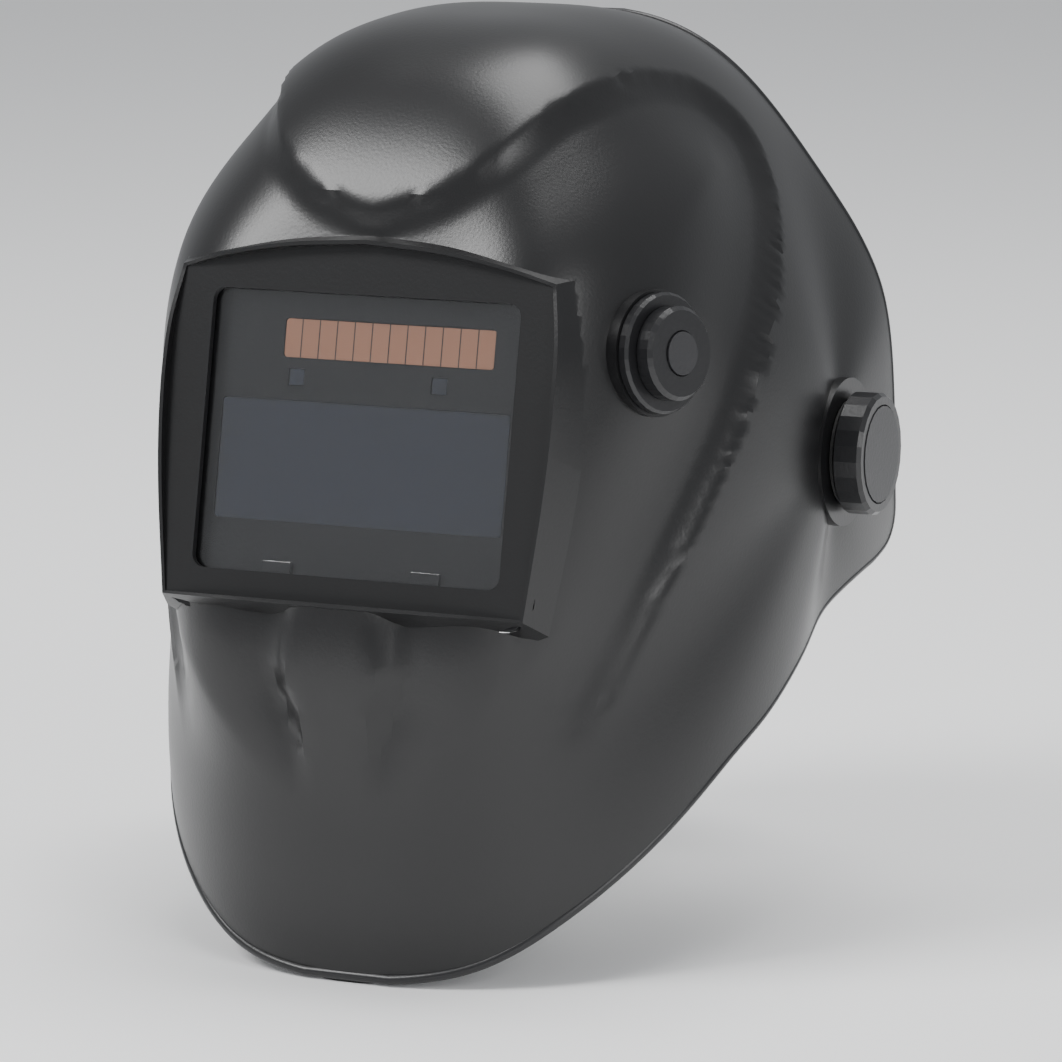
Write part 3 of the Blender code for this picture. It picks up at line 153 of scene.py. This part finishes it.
def grid_form(name, inset, rays, rings, stepped):
    """A closed form, mirrored to both sides."""
    lines = []
    for angle in np.linspace(-180, 180, rays, endpoint=False):
        radius = float(profile_radius(angle)[0]) - inset
        along, across, taper = section_form(angle)
        share = math.pi / 2 * np.linspace(0, 1, 900) ** 2
        rho = np.clip(np.cos(share), 0, 1) ** (2 / along)
        x = (HALF_WIDTH - inset) * (1 - taper * rho ** 2) * np.sin(share) ** (2 / across)
        y = CENTRE_Y - rho * radius * math.cos(math.radians(angle))
        z = CENTRE_Z + rho * radius * math.sin(math.radians(angle))
        line = np.column_stack([x, y, z])
        steps = np.diff(line, axis=0)
        lengths = np.linalg.norm(steps, axis=1)
        facing = steps / np.maximum(lengths, 1e-9)[:, None]
        bends = np.linalg.norm(np.diff(facing, axis=0, prepend=facing[:1]), axis=1)
        spacing = np.concatenate([[0], np.cumsum(lengths + 50 * bends)])
        even = np.linspace(0, spacing[-1], rings + 1)
        lines.append(np.column_stack([np.interp(even, spacing, line[:, i]) for i in range(3)]))
    grid = np.array(lines)
    grid[:, 0, 0] = 0.0
    if stepped:
        du = np.roll(grid, -1, axis=0) - np.roll(grid, 1, axis=0)
        dv = np.gradient(grid, axis=1)
        normals = np.cross(dv, du)
        normals /= np.maximum(np.linalg.norm(normals, axis=2, keepdims=True), 1e-9)
        outward = grid - np.array([0.0, CENTRE_Y, CENTRE_Z])
        flip = np.sign(np.einsum("ijk,ijk->ij", normals, outward))
        normals *= flip[:, :, None]
        normals[:, 0, 0] = 0.0
        flat = grid.reshape(-1, 3)
        depth = sunk(flat, normals.reshape(-1, 3)).reshape(grid.shape[:2])
        depth[:, -1] = 0.0
        grid = grid - normals * depth[:, :, None]
    bm = bmesh.new()
    pole = bm.verts.new(((HALF_WIDTH - inset) / 1000, CENTRE_Y / 1000, CENTRE_Z / 1000))
    rays_made = [[bm.verts.new(point / 1000) for point in line[:-1]] for line in grid]
    for one, two in zip(rays_made, rays_made[1:] + rays_made[:1]):
        for i in range(rings - 1):
            bm.faces.new((one[i], one[i + 1], two[i + 1], two[i]))
        bm.faces.new((one[-1], pole, two[-1]))
    doubled = bmesh.ops.duplicate(bm, geom=bm.verts[:] + bm.edges[:] + bm.faces[:])
    for item in doubled["geom"]:
        if isinstance(item, bmesh.types.BMVert):
            item.co.x *= -1
    bmesh.ops.remove_doubles(bm, verts=bm.verts[:], dist=0.00001)
    bmesh.ops.recalc_face_normals(bm, faces=bm.faces)
    mesh = bpy.data.meshes.new(name)
    bm.to_mesh(mesh)
    bm.free()
    obj = bpy.data.objects.new(name, mesh)
    bpy.context.scene.collection.objects.link(obj)
    return obj


RAYS = 300
RINGS = 76
shell = grid_form("shell", 0.0, RAYS, RINGS, True)
inner = grid_form("shell_inside", WALL, RAYS, RINGS, True)

# The window's plane leans back: its own upward and outward directions, and its middle.
WINDOW_Y = -158.3
WINDOW_Z = 20.9
LEAN_SINE = 0.20279
LEAN_COSINE = 0.97922


def window_point(x, up, out):
    """A point in the window's own frame, in millimetres, as a point in the scene."""
    return Vector((x, WINDOW_Y + LEAN_SINE * up - LEAN_COSINE * out,
                   WINDOW_Z + LEAN_COSINE * up + LEAN_SINE * out)) / 1000


def prism(name, outline, low, high, place):
    """A solid with a flat outline, between two heights along its own axis."""
    bm = bmesh.new()
    rows = [[bm.verts.new(place(a, b, height)) for a, b in outline] for height in (low, high)]
    for i in range(len(outline)):
        j = (i + 1) % len(outline)
        bm.faces.new((rows[0][i], rows[0][j], rows[1][j], rows[1][i]))
    bm.faces.new(rows[0][::-1])
    bm.faces.new(rows[1])
    bmesh.ops.recalc_face_normals(bm, faces=bm.faces)
    mesh = bpy.data.meshes.new(name)
    bm.to_mesh(mesh)
    bm.free()
    obj = bpy.data.objects.new(name, mesh)
    bpy.context.scene.collection.objects.link(obj)
    return obj


def carve(tool, operation="DIFFERENCE"):
    """Cut the shell with a tool, or join the tool to it, and throw the tool away."""
    step = shell.modifiers.new(operation, "BOOLEAN")
    step.operation = operation
    step.solver = "EXACT"
    step.object = tool
    bpy.context.view_layer.objects.active = shell
    bpy.ops.object.modifier_apply(modifier=step.name)
    bpy.data.objects.remove(tool, do_unlink=True)


def rounded(width, height, radius, middle=0.0, steps=8):
    points = []
    for sx, sy, start in ((1, 1, 0), (-1, 1, 90), (-1, -1, 180), (1, -1, 270)):
        for step in range(steps + 1):
            turn = math.radians(start + 90 * step / steps)
            points.append((sx * (width / 2 - radius) + radius * math.cos(turn),
                           middle + sy * (height / 2 - radius) + radius * math.sin(turn)))
    return points


# Half outline of the recessed bezel: X, up, height of the lip round it.
BEZEL = [(0, 65, 4.4), (28, 63, 4.7), (52, 58.8, 3.9), (68.5, 54.5, 0.6), (71.5, 35, 2.6),
         (72, 12, 3.4), (70.5, -18, 2.6), (66.5, -57, 0.6)]
BEZEL_FOOT = [(50, -57, 5.0), (33, -57, 6.9), (0, -57, 7.0)]


def bezel_outline(grow):
    top = smooth_path(BEZEL[:4], 8)
    side = smooth_path(BEZEL[3:], 8)
    half = np.vstack([top, side[1:], BEZEL_FOOT])
    centre = np.array([0.0, 4.0])
    reach = np.linalg.norm(half[:, :2] - centre, axis=1)
    half[:, :2] = centre + (half[:, :2] - centre) * ((reach + grow) / reach)[:, None]
    half[0, 0] = 0.0
    return np.vstack([half, half[-2:0:-1] * (-1, 1, 1)])


carve(inner)
edge = smooth_path(RIM, 8)
outline = [tuple(p) for p in edge] + [(edge[-1][0], -500), (500, -500), (500, 500),
                                      (edge[0][0], 500)]
carve(prism("rim_tool", outline, -200, 200, lambda a, b, h: Vector((h, a, b)) / 1000))
carve(prism("opening_tool", bezel_outline(0.5)[:, :2], -11.1, 20, window_point))
front = bezel_outline(1.4)
back = bezel_outline(7.2)
foot = bezel_outline(13.4)
low = front[:, 2] > 4.9
back[low] = foot[low]
bm = bmesh.new()
peak = bm.verts.new(window_point(0, 0, 3))
fronts = [bm.verts.new(window_point(*point)) for point in front]
backs = [bm.verts.new(window_point(x, up, -12.6)) for x, up, rise in back]
for i in range(len(fronts)):
    j = (i + 1) % len(fronts)
    bm.faces.new((fronts[i], fronts[j], peak))
    bm.faces.new((fronts[i], backs[i], backs[j], fronts[j]))
bm.faces.new(backs)
bmesh.ops.recalc_face_normals(bm, faces=bm.faces)
hood_mesh = bpy.data.meshes.new("hood_tool")
bm.to_mesh(hood_mesh)
bm.free()
hood = bpy.data.objects.new("hood_tool", hood_mesh)
bpy.context.scene.collection.objects.link(hood)
carve(hood, "UNION")
LENS_UP = -1.5
CHAMBER = (139.6, 120.6, 11.3)
CHAMBER_DEPTH = 30
EAR_X = 35
EAR_UP = 64.3
EAR_HALF = 5.6
BOSS_RADIUS = 26.5
BOSS_INNER = 111.2
BOSS_OUTER = 118.2
AXLE_BORE = 4.6
carve(prism("chamber_tool", rounded(*CHAMBER, LENS_UP), -CHAMBER_DEPTH, -WALL, window_point))
for sx in (1, -1):
    for sy in (1, -1):
        up = LENS_UP + sy * EAR_UP
        left, right = sx * EAR_X - EAR_HALF, sx * EAR_X + EAR_HALF
        square = [(left, up - EAR_HALF), (right, up - EAR_HALF),
                  (right, up + EAR_HALF), (left, up + EAR_HALF)]
        carve(prism("ear_tool", square, -CHAMBER_DEPTH, -9, window_point))
for sign in (1, -1):
    ring = [(BOSS_RADIUS * math.cos(t), BOSS_RADIUS * math.sin(t))
            for t in np.linspace(0, 2 * math.pi, 96, False)]
    carve(prism("boss_tool", ring, BOSS_INNER, BOSS_OUTER,
                lambda a, b, h: Vector((sign * h, a, b)) / 1000), "UNION")
    bore = [(AXLE_BORE * math.cos(t), AXLE_BORE * math.sin(t))
            for t in np.linspace(0, 2 * math.pi, 40, False)]
    carve(prism("axle_tool", bore, 90, 140, lambda a, b, h: Vector((sign * h, a, b)) / 1000))

# The seat of the shade knob, turned on its own axis on the left cheek.
shade_centre = Vector((93.2, -116.8, 49.4)) / 1000
shade_axis = Vector((0.94192, -0.32433, 0.08716))
shade_turn = shade_axis.to_track_quat("Z", "Y").to_matrix()


def shade_point(a, b, height):
    return shade_centre + shade_turn @ (Vector((a, b, height)) / 1000)


def circle(radius, count=64):
    return [(radius * math.cos(t), radius * math.sin(t))
            for t in np.linspace(0, 2 * math.pi, count, False)]


SEAT_RADIUS = 21.6
SEAT_HEIGHT = 0.8
carve(prism("seat_tool", circle(SEAT_RADIUS), -5.2, SEAT_HEIGHT, shade_point), "UNION")
carve(prism("pocket_tool", bezel_outline(0.0)[:, :2], 0, 30, window_point))
carve(prism("aperture_tool", rounded(115, 96, 4.5), -5.2, 20, window_point))
carve(prism("spot_tool", circle(SEAT_RADIUS), SEAT_HEIGHT, 6, shade_point))
carve(prism("shade_bore_tool", circle(4.8, 40), -18, 6, shade_point))
for polygon in shell.data.polygons:
    polygon.use_smooth = True
bpy.context.view_layer.objects.active = shell
shell.select_set(True)
bpy.ops.object.shade_smooth_by_angle(angle=math.radians(28))


def finish(name, colour, roughness, metallic=0.0, grain=0.0, grain_scale=900.0, coat=0.0,
           transmission=0.0):
    """A procedural material with a fine grain in Object coordinates."""
    made = bpy.data.materials.new(name)
    made.use_nodes = True
    nodes, links = made.node_tree.nodes, made.node_tree.links
    shader = nodes["Principled BSDF"]
    shader.inputs["Base Color"].default_value = (*colour, 1)
    shader.inputs["Roughness"].default_value = roughness
    shader.inputs["Metallic"].default_value = metallic
    shader.inputs["Coat Weight"].default_value = coat
    shader.inputs["Transmission Weight"].default_value = transmission
    if grain:
        place = nodes.new("ShaderNodeTexCoord")
        noise = nodes.new("ShaderNodeTexNoise")
        bump = nodes.new("ShaderNodeBump")
        noise.inputs["Scale"].default_value = grain_scale
        bump.inputs["Strength"].default_value = grain
        bump.inputs["Distance"].default_value = 0.0003
        links.new(place.outputs["Object"], noise.inputs["Vector"])
        links.new(noise.outputs["Fac"], bump.inputs["Height"])
        links.new(bump.outputs["Normal"], shader.inputs["Normal"])
    return made


shell.data.materials.append(finish("shell_plastic", (0.005, 0.005, 0.0055), 0.33, grain=0.15))
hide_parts("helmet_shell")
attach(shell, "visor")

# ---- Rim bead: a rolled lip along the shell's free edge -------------------------------
# It follows the form's edge from the crown, round each ear lug and down to the chin.
BEAD_RADIUS = 1.9
rim_points = []
for y, z in smooth_path(RIM, 40):
    across_y, across_z = CENTRE_Y - y, z - CENTRE_Z
    angle = math.degrees(math.atan2(across_z, across_y))
    rho = math.hypot(across_y, across_z) / float(profile_radius(angle)[0])
    if rho < 0.999:
        along, across, taper = section_form(angle)
        x = HALF_WIDTH * (1 - taper * rho ** 2) * (1 - rho ** along) ** (1 / across)
        rim_points.append((x - 0.6 * WALL, y, z))
rim_points = np.array(rim_points)
loop = np.vstack([rim_points, rim_points[::-1] * (-1, 1, 1)])
curve = bpy.data.curves.new("rim_bead", "CURVE")
curve.dimensions = "3D"
curve.bevel_depth = BEAD_RADIUS / 1000
curve.bevel_resolution = 4
spline = curve.splines.new("POLY")
spline.points.add(len(loop) - 1)
spline.points.foreach_set("co", np.column_stack([loop / 1000, np.ones(len(loop))]).ravel())
spline.use_cyclic_u = True
bead = bpy.data.objects.new("rim_bead", curve)
bpy.context.scene.collection.objects.link(bead)
bpy.ops.object.select_all(action="DESELECT")
bead.select_set(True)
bpy.context.view_layer.objects.active = bead
bpy.ops.object.convert(target="MESH")
bead.data.materials.append(finish("bead_plastic", (0.009, 0.009, 0.01), 0.34, grain=0.2))
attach(bead, "visor")

# ---- Window, controls, pivots and headgear: finishes and softened edges ---------------
# The pieces keep their engineering shapes, with small bevels and their own finishes.
LOOKS = {
    "clear": (("cover_lens", "inner_cover_lens"), (0.98, 0.99, 1.0), 0.02, 0, 0, 0.0, 1.0),
    "glass": (("filter_glass", "lcd_shutter", "arc_sensor_left", "arc_sensor_right"),
              (0.012, 0.016, 0.03), 0.05, 0.2, 0, 1.0, 0.0),
    "rubber": (("lens_gasket", "friction_washer_left", "friction_washer_right", "shade_lead"),
               (0.02, 0.02, 0.02), 0.75, 0, 0.4, 0.0, 0.0),
    "trim": (("filter_clip_left", "filter_clip_right", "holder_frame", "filter_casing_front",
              "filter_casing_rear", "battery_tray_left", "battery_tray_right",
              "shade_dial_ring", "shade_knob", "tension_knob_left", "tension_knob_right"),
             (0.008, 0.008, 0.009), 0.3, 0, 0.2, 0.0, 0.0),
    "steel": (("frame_screw_1", "frame_screw_2", "frame_screw_3", "frame_screw_4",
               "battery_left", "battery_right", "shade_potentiometer", "shade_shaft",
               "pivot_bolt_left", "pivot_bolt_right", "ratchet_detent"),
              (0.6, 0.6, 0.62), 0.28, 1.0, 0.1, 0.0, 0.0),
    "grey": (("sensitivity_dial", "delay_dial", "test_button", "mode_button", "knob_cap_left",
              "knob_cap_right", "ratchet_pinion", "ratchet_knob"),
             (0.02, 0.02, 0.022), 0.42, 0, 0.3, 0.0, 0.0),
    "straps": (("slider_block_left", "slider_block_right", "tilt_limiter_left",
                "tilt_limiter_right", "side_arm_left", "side_arm_right", "headband",
                "rear_band_left", "rear_band_right", "ratchet_housing", "ratchet_inner_cover",
                "crown_strap_left", "crown_strap_right", "rear_strap_left",
                "rear_strap_right"),
               (0.04, 0.04, 0.043), 0.55, 0, 0.3, 0.0, 0.0)}
for look, (names, colour, roughness, metallic, grain, coat, clear) in LOOKS.items():
    surface = finish(look + "_finish", colour, roughness, metallic, grain, 700.0, coat, clear)
    for name in names:
        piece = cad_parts[name]
        piece.data.materials.clear()
        piece.data.materials.append(surface)
        bevel = piece.modifiers.new("Soft edge", "BEVEL")
        bevel.width = 0.0003
        bevel.segments = 2
        bevel.limit_method = "ANGLE"

# Solar strip: a row of narrow copper-coloured cells with dark gaps.
CELL_PITCH = 0.00658
solar = bpy.data.materials.new("solar_cells")
solar.use_nodes = True
nodes, links = solar.node_tree.nodes, solar.node_tree.links
place = nodes.new("ShaderNodeTexCoord")
split = nodes.new("ShaderNodeSeparateXYZ")
scaled = nodes.new("ShaderNodeMath")
scaled.operation = "MULTIPLY"
scaled.inputs[1].default_value = 1 / CELL_PITCH
wrapped = nodes.new("ShaderNodeMath")
wrapped.operation = "FRACT"
gap = nodes.new("ShaderNodeMath")
gap.operation = "LESS_THAN"
gap.inputs[1].default_value = 0.07
mix = nodes.new("ShaderNodeMix")
mix.data_type = "RGBA"
mix.inputs[6].default_value = (0.42, 0.2, 0.12, 1)
mix.inputs[7].default_value = (0.05, 0.03, 0.025, 1)
links.new(place.outputs["Object"], split.inputs[0])
links.new(split.outputs["X"], scaled.inputs[0])
links.new(scaled.outputs[0], wrapped.inputs[0])
links.new(wrapped.outputs[0], gap.inputs[0])
links.new(gap.outputs[0], mix.inputs[0])
links.new(mix.outputs[2], nodes["Principled BSDF"].inputs["Base Color"])
nodes["Principled BSDF"].inputs["Roughness"].default_value = 0.3
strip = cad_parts["solar_panel"]
strip.data.materials.clear()
strip.data.materials.append(solar)

# ---- Pads: foam covered with cloth, puffed with a cloth simulation --------------------
for name, body in (("sweatband", "headgear"), ("nape_pad", "headgear")):
    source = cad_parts[name]
    pad = bpy.data.objects.new(name + "_cover", source.data.copy())
    bpy.context.scene.collection.objects.link(pad)
    bpy.ops.object.select_all(action="DESELECT")
    pad.select_set(True)
    bpy.context.view_layer.objects.active = pad
    mesh = bmesh.new()
    mesh.from_mesh(pad.data)
    bmesh.ops.remove_doubles(mesh, verts=mesh.verts[:], dist=0.00005)
    bmesh.ops.subdivide_edges(mesh, edges=mesh.edges[:], cuts=2, use_grid_fill=True)
    mesh.to_mesh(pad.data)
    mesh.free()
    cloth = pad.modifiers.new("Cloth", "CLOTH")
    cloth.settings.quality = 6
    cloth.settings.use_pressure = True
    cloth.settings.uniform_pressure_force = 0.6
    cloth.settings.tension_stiffness = 40
    cloth.settings.compression_stiffness = 40
    cloth.settings.effector_weights.gravity = 0
    cloth.point_cache.frame_end = 12
    for number in range(1, 13):
        bpy.context.scene.frame_set(number)
    bpy.ops.object.modifier_apply(modifier=cloth.name)
    bpy.context.scene.frame_set(1)
    for polygon in pad.data.polygons:
        polygon.use_smooth = True
    pad.data.materials.clear()
    pad.data.materials.append(finish(name + "_cloth", (0.03, 0.03, 0.034), 0.92, grain=0.8,
                                     grain_scale=1600.0))
    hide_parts(name)
    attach(pad, body)

# ---- Floor, lights and camera -----------------------------------------------------------
lowest = min(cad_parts[n].bound_box[i][2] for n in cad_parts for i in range(8))
bpy.ops.mesh.primitive_plane_add(size=12, location=(0, 0, lowest - 0.003))
floor = bpy.context.object
floor.data.materials.append(finish("floor", (0.95, 0.95, 0.95), 0.6))
for name, energy, size, spot in (("key", 60, 1.0, (-1.3, -1.6, 1.9)),
                                 ("fill", 22, 1.2, (1.9, -1.3, 0.9)),
                                 ("top", 45, 1.4, (0.2, 0.4, 2.3))):
    light = bpy.data.lights.new(name, "AREA")
    light.energy = energy
    light.size = size
    lamp = bpy.data.objects.new(name, light)
    lamp.location = spot
    lamp.rotation_euler = (-Vector(spot)).to_track_quat("-Z", "Y").to_euler()
    bpy.context.scene.collection.objects.link(lamp)
world = bpy.data.worlds.new("studio")
world.use_nodes = True
world.node_tree.nodes["Background"].inputs["Color"].default_value = (0.95, 0.97, 1, 1)
world.node_tree.nodes["Background"].inputs["Strength"].default_value = 0.55
bpy.context.scene.world = world
AZIMUTH = math.radians(23.87)
ELEVATION = math.radians(10.04)
DISTANCE = 2.0
aim = Vector((0, -0.01109, -0.03526))
away = Vector((math.sin(AZIMUTH) * math.cos(ELEVATION),
               -math.cos(AZIMUTH) * math.cos(ELEVATION), math.sin(ELEVATION)))
camera_data = bpy.data.cameras.new("camera")
camera_data.lens = 186.44
camera_data.sensor_width = 36
camera = bpy.data.objects.new("camera", camera_data)
camera.location = aim + DISTANCE * away
camera.rotation_euler = (-away).to_track_quat("-Z", "Y").to_euler()
bpy.context.scene.collection.objects.link(camera)
bpy.context.scene.camera = camera
